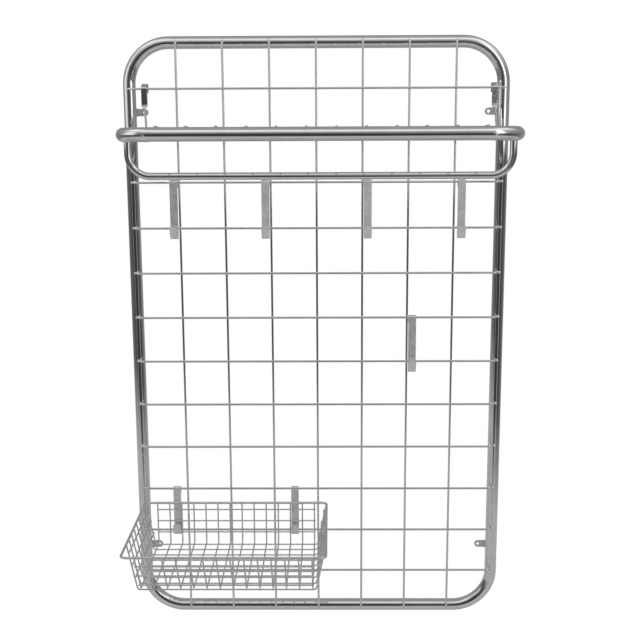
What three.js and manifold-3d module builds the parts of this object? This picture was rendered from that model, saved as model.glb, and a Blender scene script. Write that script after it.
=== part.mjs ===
// Wall rack of chromed tube and welded wire, with a hook-on hat shelf, coat hooks and a wire letter tray.
// Millimetres, +Z up, +X to the right as seen from the front, and the front faces -Y.
// The origin lies on the wall, midway between the four wall lugs.
import * as THREE from "three";
import { mergeVertices } from "three/addons/utils/BufferGeometryUtils.js";
import Module from "manifold-3d";

const wasm = await Module();
wasm.setup();

const GAP = 0.3; // kept between separate pieces that touch or are spot-welded
const WELD = 0.6; // how far wires of one piece sink into each other at their welds
const MERGE_WITHIN = 1e-3; // vertices closer than this are one
const STRAIGHT = 1e-4; // a path that turns by less than this angle needs no arc

// Facets round the sections
const TUBE_SIDES = 16;
const BORE_SIDES = 10;
const COAT_RAIL_SIDES = 12;
const WIRE_SIDES = 8;
const FINE_SIDES = 6;

// Facets along a bend
const TUBE_BEND_STEPS = 6;
const RAIL_BEND_STEPS = 5;
const HOOK_BEND_STEPS = 5;
const RIM_BEND_STEPS = 4;
const HANGER_BEND_STEPS = 4;
const TRAY_WIRE_BEND_STEPS = 3;
const SLIGHT_BEND_STEPS = 1;

// Frame tube and grid
const TUBE_D = 20;
const TUBE_WALL = 1.5;
const FRAME_W = 605.2; // between the centrelines of the uprights
const FRAME_TOP_Z = 485.3; // centreline of the top tube
const FRAME_BOTTOM_Z = -484.3;
const FRAME_CORNER_R = 66; // on the centreline
const VENT_D = 6; // drain hole of the plating bath, in the back of the bottom tube
const VERTICAL_TOP_Z = 489.5; // the vertical wires end on the crests of the two tubes
const VERTICAL_BOTTOM_Z = -485;
const WIRE_D = 3.5;
const GRID_PITCH = 75;
const VERTICALS = 7;
const HORIZONTALS = 12;
const WIRE_JOGGLE_FROM = 294.5; // from here outwards a horizontal wire steps back onto the upright
const WIRE_JOGGLE_TO = 301.5;
const WIRE_END = 305;

// Wall lugs
const LUG_T = 2.5;
const LUG_H = 12;
const LUG_REACH = 27.6; // from the upright's centreline to the lug's round end
const LUG_HOLE_D = 5;
const LUG_END_STEPS = 8;
const LUG_Z = 375;

// Hat shelf
const SHELF_X = 8.2; // the shelf hangs a little to the right of the middle
const SHELF_W = 562.2; // between the centrelines of the arms
const SHELF_CORNER_R = 45;
const RAIL_Y = -284;
const RAIL_Z = 347;
const ARM_END_Y = -33.5;
const ARM_DROP = 9; // the arms' rear ends lie this much lower than the rail
const SHELF_WIRES = 12;
const SHELF_WIRE_D = 3;
const SHELF_WIRE_PITCH = 42.4;
const SHELF_WIRES_X = 10.5; // middle of the row of wires
const SHELF_WIRE_FLAT = 4; // half the length that lies on the rear cross rod
const SHELF_WIRE_LEVEL = 12; // the front stretch that lies level over the rail
const SHELF_WIRE_BEND_R = 10;
const SHELF_WIRE_SETBACK = 5; // the front ends stop this far behind the rail's crest
const CROSS_ROD_D = 6;
const CROSS_ROD_Y = -46;
const COAT_RAIL_D = 11;
const COAT_RAIL_Y = -209.5;
const COAT_RAIL_Z = 284.4;
const COAT_RAIL_CORNER_R = 32;
const ROD_END_GAP = 0.5; // kept where a round rod's square end meets the round side of a tube
const HANGER_W = 10;
const HANGER_TOP_X = { [-1]: -275.8, 1: 286.5 };
const HANGER_FRONT_RISE = 1.8; // corners of the bar's hooked top, from the wire's axis
const HANGER_REAR_RISE = 9.3;
const HANGER_REAR_REACH = 13; // from the front leg back to the tail
const HANGER_TAIL = 7;
const HANGER_TWIST_FROM = 25; // the bar turns a quarter round over this stretch below the wire
const HANGER_TWIST_TO = 35;
const HANGER_TWIST_STEPS = 8;
const HANGER_FOOT_Y = -40;
const HANGER_FOOT_LIFT = 1.2; // the foot is cut square to the slanting bar, so one corner reaches lower
const PLUG_CAP_T = 2;
const PLUG_DEPTH = 14;
const PLUG_CHAMFER = 1;
const PLUG_PLAY = 0.8; // the tube's bore is faceted, so the plug is kept this much smaller in radius

// Flat strip of the hooks and of the shelf's hanger bars
const STRIP_W = 13;
const STRIP_T = 2;
const STRIP_TAIL = 9; // the end that goes down behind the wire
const COAT_HOOK_DROP = 89.7; // from the wire down to the inside of the hook's trough
const TRAY_HOOK_DROP = 78.4;
const LIP_LENGTH = 21;
const LIP_LEAN = THREE.MathUtils.degToRad(30); // from upright, outwards

const COAT_HOOKS = [
  { x: -233.6, row: 3 },
  { x: -83.6, row: 3 },
  { x: 83.6, row: 3 },
  { x: 236.6, row: 3 },
  { x: 158.6, row: 6 },
];
const TRAY_HOOK_X = { left: -242.9, right: -39.7 };
const TRAY_HOOK_ROW = 10;

// Letter tray
const TRAY_X = -141.3;
const TRAY_W = 316; // outside the rim
const TRAY_D = 236.5; // outside the rim
const RIM_WIRE_D = 4;
const RIM_CORNER_R = 9;
const TRAY_WIRE_D = 2.5;
const CROSS_WIRES = 14;
const CROSS_WIRE_PITCH = 20.77;
const LONG_WIRES = 9;
const LONG_WIRE_REAR_INSET = 1.5; // the first long wire lies this far in front of the rear wall
const LONG_WIRE_FRONT_INSET = 1.5;
const TRAY_DEPTH = 72.5; // from the rim's centre to the cross wires of the base
const FRONT_SLOPE = 50.5; // how far the front wall leans outwards over its height
const END_SLOPE = 15.7; // the same for the two ends
const TRAY_BEND_R = 5;
const REAR_WALL_WIRE_DEPTHS = [13.1, 33.5, 54]; // below the rim; the lowest rests in the hooks
const FRONT_WALL_WIRE_DEPTHS = [16.5, 38.5, 61];

// Layers, from the wall forwards
const tubeY = -(LUG_T + GAP + TUBE_D / 2);
const verticalWireY = tubeY - TUBE_D / 2 - GAP - WIRE_D / 2;
const horizontalWireY = verticalWireY - WIRE_D - GAP;
const stripBendR = WIRE_D / 2 + GAP + STRIP_T / 2; // centreline radius of a strip bent over a wire
const stripY = horizontalWireY - stripBendR; // centre of a strip that hangs in front of the wires
const rowZ = (row) => (HORIZONTALS / 2 - row + 0.5) * GRID_PITCH; // rows are counted from 1 at the top
const columnX = (column) => (column - (VERTICALS + 1) / 2) * GRID_PITCH;

const chrome = { color: 0xc9ccd0, roughness: 0.12, metalness: 1 };
const brightWire = { color: 0xb9bcc0, roughness: 0.2, metalness: 1 };
const satinZinc = { color: 0xa6a8a8, roughness: 0.45, metalness: 1 };
const paleZinc = { color: 0xb8b1a0, roughness: 0.55, metalness: 1 };
const blackPlastic = { color: 0x1c1c1e, roughness: 0.5, metalness: 0 };

// Straight runs between corner points, joined by arcs. Its stations are the ends of the path and the steps of
// each arc, so that an extrusion along it has a ring of vertices only where the path bends.
class BentPath extends THREE.Curve {
  constructor(corners, radius, arcSteps, closed = false) {
    super();
    this.closed = closed;
    this.stations = [];
    const last = corners.length - 1;
    const corner = (i) => corners[(i + corners.length) % corners.length];
    if (!closed) this.addStation(corner(0), direction(corner(0), corner(1)));
    for (let i = closed ? 0 : 1; i <= (closed ? last : last - 1); i++) {
      this.addArc(corner(i - 1), corner(i), corner(i + 1), radius, arcSteps);
    }
    if (!closed) this.addStation(corner(last), direction(corner(last - 1), corner(last)));
  }

  addStation(point, tangent) {
    this.stations.push({ point, tangent });
  }

  addArc(before, at, after, radius, arcSteps) {
    const incoming = direction(before, at);
    const outgoing = direction(at, after);
    const turn = incoming.angleTo(outgoing);
    if (turn < STRAIGHT) {
      this.addStation(at, incoming);
      return;
    }
    const axis = incoming.clone().cross(outgoing).normalize();
    const start = at.clone().addScaledVector(incoming, -radius * Math.tan(turn / 2));
    const towardsCentre = axis.clone().cross(incoming);
    const centre = start.clone().addScaledVector(towardsCentre, radius);
    for (let step = 0; step <= arcSteps; step++) {
      const angle = (turn * step) / arcSteps;
      const spoke = towardsCentre.clone().applyAxisAngle(axis, angle);
      this.addStation(
        centre.clone().addScaledVector(spoke, -radius),
        incoming.clone().applyAxisAngle(axis, angle),
      );
    }
  }

  get steps() {
    return this.closed ? this.stations.length : this.stations.length - 1;
  }

  stationAt(u) {
    return this.stations[Math.round(u * this.steps) % this.stations.length];
  }

  getPointAt(u, target = new THREE.Vector3()) {
    return target.copy(this.stationAt(u).point);
  }

  getTangentAt(u, target = new THREE.Vector3()) {
    return target.copy(this.stationAt(u).tangent);
  }
}

function direction(from, to) {
  return to.clone().sub(from).normalize();
}

function vec(x, y, z) {
  return new THREE.Vector3(x, y, z);
}

function circle(radius, sides, centreX = 0) {
  const points = [];
  for (let side = 0; side < sides; side++) {
    const angle = (2 * Math.PI * (side + 0.5)) / sides;
    points.push(new THREE.Vector2(centreX + radius * Math.cos(angle), radius * Math.sin(angle)));
  }
  return points;
}

function sweep(shape, path) {
  return new THREE.ExtrudeGeometry(shape, { extrudePath: path, steps: path.steps });
}

function rod(path, diameter, sides) {
  return sweep(new THREE.Shape(circle(diameter / 2, sides)), path);
}

function straightRod(from, to, diameter, sides) {
  return rod(new BentPath([from, to], 0, 0), diameter, sides);
}

function ring(path, diameter, sides) {
  return new THREE.TubeGeometry(path, path.steps, diameter / 2, sides, true);
}

// A flat strip swept along a path that starts upwards in a plane square to X; its width lies along X.
function strip(path, width) {
  const halfT = STRIP_T / 2;
  const halfW = width / 2;
  const section = new THREE.Shape([
    new THREE.Vector2(-halfT, -halfW),
    new THREE.Vector2(halfT, -halfW),
    new THREE.Vector2(halfT, halfW),
    new THREE.Vector2(-halfT, halfW),
  ]);
  return sweep(section, path);
}

function solidOf(geometry) {
  const bare = new THREE.BufferGeometry();
  const flat = geometry.index ? geometry.toNonIndexed() : geometry;
  bare.setAttribute("position", flat.getAttribute("position"));
  const merged = mergeVertices(bare, MERGE_WITHIN);
  return new wasm.Manifold(
    new wasm.Mesh({
      numProp: 3,
      vertProperties: merged.attributes.position.array,
      triVerts: new Uint32Array(merged.index.array),
    }),
  );
}

function geometryOf(solid) {
  const mesh = solid.getMesh();
  const geometry = new THREE.BufferGeometry();
  geometry.setAttribute("position", new THREE.BufferAttribute(mesh.vertProperties, 3));
  geometry.setIndex(new THREE.BufferAttribute(mesh.triVerts, 1));
  geometry.computeVertexNormals();
  return geometry;
}

function joined(geometries) {
  return geometryOf(geometries.map(solidOf).reduce((sum, solid) => sum.add(solid)));
}

function cut(geometry, ...tools) {
  return geometryOf(tools.map(solidOf).reduce((rest, tool) => rest.subtract(tool), solidOf(geometry)));
}

const rack = new THREE.Group();

function place(group, name, geometry, look) {
  const mesh = new THREE.Mesh(geometry, new THREE.MeshStandardMaterial(look));
  mesh.name = name;
  group.add(mesh);
  return mesh;
}

// ---- Frame: one closed ring of tube, and the wire grid welded to its front

function frameTube() {
  const w = FRAME_W / 2;
  const corners = [
    vec(-w, tubeY, FRAME_BOTTOM_Z),
    vec(w, tubeY, FRAME_BOTTOM_Z),
    vec(w, tubeY, FRAME_TOP_Z),
    vec(-w, tubeY, FRAME_TOP_Z),
  ];
  const path = new BentPath(corners, FRAME_CORNER_R, TUBE_BEND_STEPS, true);
  const vent = straightRod(vec(0, tubeY, FRAME_BOTTOM_Z), vec(0, 0, FRAME_BOTTOM_Z), VENT_D, FINE_SIDES);
  return cut(ring(path, TUBE_D, TUBE_SIDES), ring(path, TUBE_D - 2 * TUBE_WALL, BORE_SIDES), vent);
}

function verticalWire(x) {
  const bottom = vec(x, verticalWireY, VERTICAL_BOTTOM_Z);
  return straightRod(bottom, vec(x, verticalWireY, VERTICAL_TOP_Z), WIRE_D, WIRE_SIDES);
}

// The wire lies in front of the vertical ones and steps back at both ends onto the uprights.
function horizontalWire(z) {
  const halfStep = (WIRE_JOGGLE_TO - WIRE_JOGGLE_FROM) / 2;
  const left = [
    vec(-WIRE_END, verticalWireY, z),
    vec(-WIRE_JOGGLE_TO, verticalWireY, z),
    vec(-WIRE_JOGGLE_FROM, horizontalWireY, z),
  ];
  const right = left.map((p) => vec(-p.x, p.y, z)).reverse();
  return rod(new BentPath([...left, ...right], halfStep, SLIGHT_BEND_STEPS), WIRE_D, WIRE_SIDES);
}

// A flat tab with a round end and a screw hole, welded behind the upright. It is drawn pointing along +X.
function wallLug() {
  const r = LUG_H / 2;
  const outline = new THREE.Shape();
  outline.moveTo(0, -r);
  outline.lineTo(LUG_REACH - r, -r);
  outline.absarc(LUG_REACH - r, 0, r, -Math.PI / 2, Math.PI / 2, false);
  outline.lineTo(0, r);
  outline.closePath();
  outline.holes.push(new THREE.Path(circle(LUG_HOLE_D / 2, BORE_SIDES, LUG_REACH - r)));
  const options = { depth: LUG_T, bevelEnabled: false, curveSegments: LUG_END_STEPS };
  return new THREE.ExtrudeGeometry(outline, options).rotateX(Math.PI / 2);
}

const frame = new THREE.Group();
rack.add(frame);
place(frame, "frame_tube", frameTube(), chrome);
for (let column = 1; column <= VERTICALS; column++) {
  place(frame, `grid_vertical_${column}`, verticalWire(columnX(column)), brightWire);
}
for (let row = 1; row <= HORIZONTALS; row++) {
  place(frame, `grid_horizontal_${row}`, horizontalWire(rowZ(row)), brightWire);
}
for (const [height, z] of Object.entries({ upper: LUG_Z, lower: -LUG_Z })) {
  const left = place(frame, `wall_lug_${height}_left`, wallLug(), paleZinc);
  left.position.set(-FRAME_W / 2, 0, z);
  const right = place(frame, `wall_lug_${height}_right`, wallLug(), paleZinc);
  right.position.set(FRAME_W / 2, -LUG_T, z);
  right.rotation.z = Math.PI;
}

// ---- Hat shelf: a U of tube, wires from front to back, a thinner coat rail below, two hanger bars

const armX = (side) => SHELF_X + (side * SHELF_W) / 2;
const armZ = (y) => RAIL_Z - (ARM_DROP * (y - RAIL_Y)) / (ARM_END_Y - RAIL_Y);
const onArm = (side, y) => vec(armX(side), y, armZ(y));

function shelfTube() {
  const corners = [onArm(-1, ARM_END_Y), onArm(-1, RAIL_Y), onArm(1, RAIL_Y), onArm(1, ARM_END_Y)];
  const section = new THREE.Shape(circle(TUBE_D / 2, TUBE_SIDES));
  section.holes.push(new THREE.Path(circle(TUBE_D / 2 - TUBE_WALL, BORE_SIDES)));
  return sweep(section, new BentPath(corners, SHELF_CORNER_R, TUBE_BEND_STEPS));
}

// The rear cross rod and the wires welded on it; each wire's front end lies over the rail's crest.
function shelfWires() {
  const rodZ = armZ(CROSS_ROD_Y);
  const rodEnd = TUBE_D / 2 + ROD_END_GAP;
  const rodFrom = vec(armX(-1) + rodEnd, CROSS_ROD_Y, rodZ);
  const rodTo = vec(armX(1) - rodEnd, CROSS_ROD_Y, rodZ);
  const pieces = [straightRod(rodFrom, rodTo, CROSS_ROD_D, WIRE_SIDES)];
  const wireR = SHELF_WIRE_D / 2;
  const rearZ = rodZ + CROSS_ROD_D / 2 + wireR - WELD;
  const railTop = Math.sqrt((TUBE_D / 2) ** 2 - SHELF_WIRE_SETBACK ** 2);
  const frontZ = RAIL_Z + railTop + wireR + GAP;
  const frontY = RAIL_Y + SHELF_WIRE_SETBACK;
  for (let i = 0; i < SHELF_WIRES; i++) {
    const x = SHELF_WIRES_X + (i - (SHELF_WIRES - 1) / 2) * SHELF_WIRE_PITCH;
    const corners = [
      vec(x, CROSS_ROD_Y + SHELF_WIRE_FLAT, rearZ),
      vec(x, CROSS_ROD_Y - SHELF_WIRE_FLAT, rearZ),
      vec(x, frontY + SHELF_WIRE_LEVEL, frontZ),
      vec(x, frontY, frontZ),
    ];
    const path = new BentPath(corners, SHELF_WIRE_BEND_R, SLIGHT_BEND_STEPS);
    pieces.push(rod(path, SHELF_WIRE_D, FINE_SIDES));
  }
  return joined(pieces);
}

function coatRail() {
  const weldZ = armZ(COAT_RAIL_Y) - TUBE_D / 2 - ROD_END_GAP;
  const corners = [
    vec(armX(-1), COAT_RAIL_Y, weldZ),
    vec(armX(-1), COAT_RAIL_Y, COAT_RAIL_Z),
    vec(armX(1), COAT_RAIL_Y, COAT_RAIL_Z),
    vec(armX(1), COAT_RAIL_Y, weldZ),
  ];
  const path = new BentPath(corners, COAT_RAIL_CORNER_R, RAIL_BEND_STEPS);
  return rod(path, COAT_RAIL_D, COAT_RAIL_SIDES);
}

// A strip that lies over the top wire: up in front of it, back over it on a rising slope, and down behind it.
// Below the wire it turns a quarter round and stands edge-on on the arm.
function hangerBar(side) {
  const x = HANGER_TOP_X[side];
  const rearY = stripY + HANGER_REAR_REACH;
  const twistTop = vec(x, stripY, rowZ(1) - HANGER_TWIST_FROM);
  const foot = onArm(side, HANGER_FOOT_Y).add(vec(0, 0, TUBE_D / 2 + HANGER_FOOT_LIFT));
  const down = direction(twistTop, foot);
  const twistLength = HANGER_TWIST_TO - HANGER_TWIST_FROM;
  const corners = [
    vec(x, rearY, rowZ(1) - HANGER_TAIL),
    vec(x, rearY, rowZ(1) + HANGER_REAR_RISE),
    vec(x, stripY, rowZ(1) + HANGER_FRONT_RISE),
  ];
  for (let step = 0; step <= HANGER_TWIST_STEPS; step++) {
    corners.push(twistTop.clone().addScaledVector(down, (twistLength * step) / HANGER_TWIST_STEPS));
  }
  const bar = strip(new BentPath([...corners, foot], stripBendR, HANGER_BEND_STEPS), HANGER_W);
  const positions = bar.getAttribute("position");
  const point = new THREE.Vector3();
  for (let i = 0; i < positions.count; i++) {
    point.fromBufferAttribute(positions, i).sub(twistTop);
    const turn = (Math.PI / 2) * THREE.MathUtils.smoothstep(point.dot(down), 0, twistLength);
    point.applyAxisAngle(down, turn).add(twistTop);
    positions.setXYZ(i, point.x, point.y, point.z);
  }
  return bar;
}

// A push-in plug with a flat cap, drawn along +Y with the cap's outer face at y = 0.
function endPlug() {
  const capR = TUBE_D / 2 - GAP;
  const bodyR = TUBE_D / 2 - TUBE_WALL - PLUG_PLAY;
  const profile = [
    new THREE.Vector2(0, -PLUG_CAP_T - PLUG_DEPTH),
    new THREE.Vector2(bodyR - PLUG_CHAMFER, -PLUG_CAP_T - PLUG_DEPTH),
    new THREE.Vector2(bodyR, -PLUG_CAP_T - PLUG_DEPTH + PLUG_CHAMFER),
    new THREE.Vector2(bodyR, -PLUG_CAP_T),
    new THREE.Vector2(capR, -PLUG_CAP_T),
    new THREE.Vector2(capR, -PLUG_CHAMFER),
    new THREE.Vector2(capR - PLUG_CHAMFER, 0),
    new THREE.Vector2(0, 0),
  ];
  return new THREE.LatheGeometry(profile, TUBE_SIDES);
}

const hatShelf = new THREE.Group();
rack.add(hatShelf);
place(hatShelf, "shelf_tube", shelfTube(), chrome);
place(hatShelf, "shelf_wires", shelfWires(), brightWire);
place(hatShelf, "coat_rail", coatRail(), chrome);
for (const [name, side] of Object.entries({ left: -1, right: 1 })) {
  place(hatShelf, `hanger_bar_${name}`, hangerBar(side), satinZinc);
  const plug = place(hatShelf, `shelf_end_plug_${name}`, endPlug(), blackPlastic);
  const outwards = direction(onArm(side, RAIL_Y), onArm(side, ARM_END_Y));
  plug.quaternion.setFromUnitVectors(vec(0, 1, 0), outwards);
  plug.position.copy(onArm(side, ARM_END_Y)).addScaledVector(outwards, PLUG_CAP_T + GAP);
}

// ---- Hooks: one flat strip each, bent over a grid wire, straight down, and up again as a leaning lip

// Drawn with the wire's axis through the origin. drop is from there down to the inside of the trough.
function stripHook(drop) {
  const lipTurn = Math.PI - LIP_LEAN;
  const arcReach = stripBendR * Math.tan(lipTurn / 2);
  const troughCentreZ = stripBendR - drop - STRIP_T / 2;
  const bottom = vec(0, -stripBendR, troughCentreZ - arcReach);
  const lip = vec(0, -Math.sin(LIP_LEAN), Math.cos(LIP_LEAN));
  const corners = [
    vec(0, stripBendR, -STRIP_TAIL),
    vec(0, stripBendR, stripBendR),
    vec(0, -stripBendR, stripBendR),
    bottom,
    bottom.clone().addScaledVector(lip, arcReach + LIP_LENGTH),
  ];
  return strip(new BentPath(corners, stripBendR, HOOK_BEND_STEPS), STRIP_W);
}

const hooks = new THREE.Group();
rack.add(hooks);
COAT_HOOKS.forEach(({ x, row }, i) => {
  const hook = place(hooks, `coat_hook_${i + 1}`, stripHook(COAT_HOOK_DROP), satinZinc);
  hook.position.set(x, horizontalWireY, rowZ(row));
});
for (const [name, x] of Object.entries(TRAY_HOOK_X)) {
  const hook = place(hooks, `tray_hook_${name}`, stripHook(TRAY_HOOK_DROP), satinZinc);
  hook.position.set(x, horizontalWireY, rowZ(TRAY_HOOK_ROW));
}

// ---- Letter tray: a wire basket with an upright back, a sloping front, and corners closed only by the rim.
// Its cross wires run down the back, along the base and up the front; its long wires lie under them and rise
// at both ends. Straight wires stiffen the four walls.

const trayWireStep = TRAY_WIRE_D + GAP; // between the centres of two wires that cross
const hungWireY = horizontalWireY - 2 * stripBendR; // the middle of the hooks' troughs
const hungWireZ = rowZ(TRAY_HOOK_ROW) - TRAY_HOOK_DROP + TRAY_WIRE_D / 2 + GAP;
const rimZ = hungWireZ + REAR_WALL_WIRE_DEPTHS[REAR_WALL_WIRE_DEPTHS.length - 1];
const rearY = hungWireY - trayWireStep; // plane of the rear cross wires and of the rim's rear run
const frontRimY = rearY - TRAY_D + RIM_WIRE_D;
const frontBaseY = frontRimY + FRONT_SLOPE;
const baseZ = rimZ - TRAY_DEPTH;
const longBaseZ = baseZ - trayWireStep;
const rimHalfW = (TRAY_W - RIM_WIRE_D) / 2;
const wireTop = RIM_WIRE_D / 2 + GAP; // free ends stop this far below the rim's centre

const frontWallDown = direction(vec(0, frontRimY, rimZ), vec(0, frontBaseY, baseZ));
const frontWallOut = vec(0, frontWallDown.z, -frontWallDown.y);

function trayCrossWire(x) {
  const frontTop = vec(x, frontRimY, rimZ).addScaledVector(frontWallDown, wireTop);
  const corners = [
    vec(x, rearY, rimZ - wireTop),
    vec(x, rearY, baseZ),
    vec(x, frontBaseY, baseZ),
    frontTop,
  ];
  return rod(new BentPath(corners, TRAY_BEND_R, TRAY_WIRE_BEND_STEPS), TRAY_WIRE_D, FINE_SIDES);
}

// A straight wire along X on the outside of the rear or front wall.
function trayWallWire(depth, front) {
  const reach = ((CROSS_WIRES - 1) / 2) * CROSS_WIRE_PITCH + TRAY_WIRE_D;
  const at = front
    ? vec(0, frontRimY, rimZ)
        .addScaledVector(frontWallDown, -depth / frontWallDown.z)
        .addScaledVector(frontWallOut, trayWireStep)
    : vec(0, hungWireY, rimZ - depth);
  const from = vec(TRAY_X - reach, at.y, at.z);
  const to = vec(TRAY_X + reach, at.y, at.z);
  return straightRod(from, to, TRAY_WIRE_D, FINE_SIDES);
}

// The rim, the long wires that hang from its two ends, and the wires along those end walls.
function trayRim() {
  const rimCorners = [
    vec(TRAY_X - rimHalfW, rearY, rimZ),
    vec(TRAY_X + rimHalfW, rearY, rimZ),
    vec(TRAY_X + rimHalfW, frontRimY, rimZ),
    vec(TRAY_X - rimHalfW, frontRimY, rimZ),
  ];
  const rimPath = new BentPath(rimCorners, RIM_CORNER_R, RIM_BEND_STEPS, true);
  const pieces = [ring(rimPath, RIM_WIRE_D, WIRE_SIDES)];
  const baseHalfW = rimHalfW - END_SLOPE;
  const firstY = rearY - LONG_WIRE_REAR_INSET;
  const lastY = frontBaseY + LONG_WIRE_FRONT_INSET;
  for (let i = 0; i < LONG_WIRES; i++) {
    const y = THREE.MathUtils.lerp(firstY, lastY, i / (LONG_WIRES - 1));
    const corners = [
      vec(TRAY_X - rimHalfW, y, rimZ),
      vec(TRAY_X - baseHalfW, y, longBaseZ),
      vec(TRAY_X + baseHalfW, y, longBaseZ),
      vec(TRAY_X + rimHalfW, y, rimZ),
    ];
    const path = new BentPath(corners, TRAY_BEND_R, TRAY_WIRE_BEND_STEPS);
    pieces.push(rod(path, TRAY_WIRE_D, FINE_SIDES));
  }
  for (const depth of REAR_WALL_WIRE_DEPTHS) {
    for (const side of [-1, 1]) {
      const halfW = rimHalfW - (END_SLOPE * depth) / (rimZ - longBaseZ);
      const x = TRAY_X + side * (halfW - TRAY_WIRE_D + WELD);
      const from = vec(x, firstY + TRAY_WIRE_D, rimZ - depth);
      const to = vec(x, lastY - TRAY_WIRE_D, rimZ - depth);
      pieces.push(straightRod(from, to, TRAY_WIRE_D, FINE_SIDES));
    }
  }
  return joined(pieces);
}

const letterTray = new THREE.Group();
rack.add(letterTray);
place(letterTray, "tray_rim_and_long_wires", trayRim(), satinZinc);
for (let i = 0; i < CROSS_WIRES; i++) {
  const x = TRAY_X + (i - (CROSS_WIRES - 1) / 2) * CROSS_WIRE_PITCH;
  place(letterTray, `tray_cross_wire_${i + 1}`, trayCrossWire(x), satinZinc);
}
REAR_WALL_WIRE_DEPTHS.forEach((depth, i) => {
  place(letterTray, `tray_rear_wire_${i + 1}`, trayWallWire(depth, false), satinZinc);
});
FRONT_WALL_WIRE_DEPTHS.forEach((depth, i) => {
  place(letterTray, `tray_front_wire_${i + 1}`, trayWallWire(depth, true), satinZinc);
});

export default rack;
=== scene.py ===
"""A chromed wall rack: tube frame, wire grid, hat shelf, strip hooks and a hanging wire letter tray."""

import math
import random

import bmesh
import bpy
from mathutils import Matrix, Vector


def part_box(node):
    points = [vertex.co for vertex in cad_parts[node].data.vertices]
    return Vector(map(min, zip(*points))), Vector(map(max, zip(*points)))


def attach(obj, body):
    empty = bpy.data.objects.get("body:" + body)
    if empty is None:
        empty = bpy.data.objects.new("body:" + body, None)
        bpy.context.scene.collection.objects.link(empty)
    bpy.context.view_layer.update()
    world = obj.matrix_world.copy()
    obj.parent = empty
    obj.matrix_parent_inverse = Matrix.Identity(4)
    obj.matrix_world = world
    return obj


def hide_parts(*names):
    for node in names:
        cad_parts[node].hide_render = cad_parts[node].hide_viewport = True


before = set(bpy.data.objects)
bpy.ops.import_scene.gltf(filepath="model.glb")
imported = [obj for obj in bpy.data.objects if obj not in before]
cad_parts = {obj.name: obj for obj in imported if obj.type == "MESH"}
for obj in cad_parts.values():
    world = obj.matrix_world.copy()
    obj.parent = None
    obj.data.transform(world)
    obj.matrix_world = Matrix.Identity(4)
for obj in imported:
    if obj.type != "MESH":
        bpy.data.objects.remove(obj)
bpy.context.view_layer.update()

MM = 0.001
random.seed(7)

# ---- Camera, as far off and as high as the photograph's

CAMERA_PLACE = (0.0237, -1.8139, 0.3874)
CAMERA_YAW = math.radians(0.609)
CAMERA_DOWN = math.radians(11.2135)
CAMERA_ROLL = math.radians(-0.257)
CAMERA_LENS = 61.26

camera = bpy.data.objects.new("camera", bpy.data.cameras.new("camera"))
bpy.context.scene.collection.objects.link(camera)
camera.data.sensor_width = 36
camera.data.lens = CAMERA_LENS
camera.matrix_world = (
    Matrix.Translation(CAMERA_PLACE)
    @ Matrix.Rotation(CAMERA_YAW, 4, "Z")
    @ Matrix.Rotation(math.pi / 2 - CAMERA_DOWN, 4, "X")
    @ Matrix.Rotation(CAMERA_ROLL, 4, "Z")
)
bpy.context.scene.camera = camera
bpy.context.scene.view_settings.view_transform = "Standard"

# ---- Dimensions that the boxes of the CAD nodes don't give, in metres

TUBE_R = 10 * MM
FRAME_CORNER_R = 66 * MM
SHELF_CORNER_R = 45 * MM
COAT_RAIL_R = 5.5 * MM
COAT_RAIL_CORNER_R = 32 * MM
WIRE_R = 1.75 * MM
GRID_COLUMNS = 7
GRID_ROWS = 12
STEP_FROM = 294.5 * MM  # a cross wire steps back to the uprights between these two distances from the middle
STEP_TO = 301.5 * MM
STEP_BEND_R = 4 * MM
STRIP_T = 2 * MM
STRIP_EDGE = 0.5 * MM
STRIP_END_ROUND = 0.4 * MM
STRIP_BEND_R = 3.05 * MM

# A CAD rod is a prism, so its box is a little smaller than the true round rod's
TUBE_FACETS = 16
COAT_RAIL_FACETS = 12
WIRE_FACETS = 8

# How fine the swept skins are
TUBE_SIDES = 40
COAT_RAIL_SIDES = 28
ROD_SIDES = 20
RIM_SIDES = 16
WIRE_SIDES = 14
SHELF_WIRE_SIDES = 12
TRAY_WIRE_SIDES = 10

# ---- Materials


class Nodes:
    """A short way to write a shader: each call adds a node and returns it."""

    def __init__(self, tree):
        self.tree = tree
        tree.nodes.clear()

    def add(self, kind, inputs=None, **settings):
        node = self.tree.nodes.new("ShaderNode" + kind)
        for key, value in settings.items():
            setattr(node, key, value)
        for key, value in (inputs or {}).items():
            self.feed(node, key, value)
        return node

    def feed(self, node, key, value):
        if isinstance(value, bpy.types.Node):
            value = value.outputs[0]
        if isinstance(value, bpy.types.NodeSocket):
            self.tree.links.new(value, node.inputs[key])
        else:
            node.inputs[key].default_value = value

    def ramp(self, value, stops, mode="LINEAR"):
        node = self.add("ValToRGB", {0: value})
        node.color_ramp.interpolation = mode
        elements = node.color_ramp.elements
        while len(elements) < len(stops):
            elements.new(0.5)
        for element, (place, _) in zip(elements, stops):
            element.position = place
        for element, (_, colour) in zip(elements, stops):
            grey = isinstance(colour, (int, float))
            element.color = (colour, colour, colour, 1) if grey else (*colour, 1)
        return node

    def math(self, operation, a, b=0.0):
        return self.add("Math", {0: a, 1: b}, operation=operation)

    def mix(self, factor, a, b):
        node = self.add("Mix", data_type="RGBA")
        self.feed(node, 0, factor)
        self.feed(node, 6, a)
        self.feed(node, 7, b)
        return node.outputs[2]


# Noise scales, per metre
SPECKS_TO_PATCHES = 11
HAIRLINE_SCALE = (900, 900, 60)
METAL_GRAIN_SCALE = 900
DENT_SCALE = 190
PLASTIC_GRAIN_SCALE = 1400
DUST_SCALE = 160
SPECK_DARKNESS = 0.82


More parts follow.
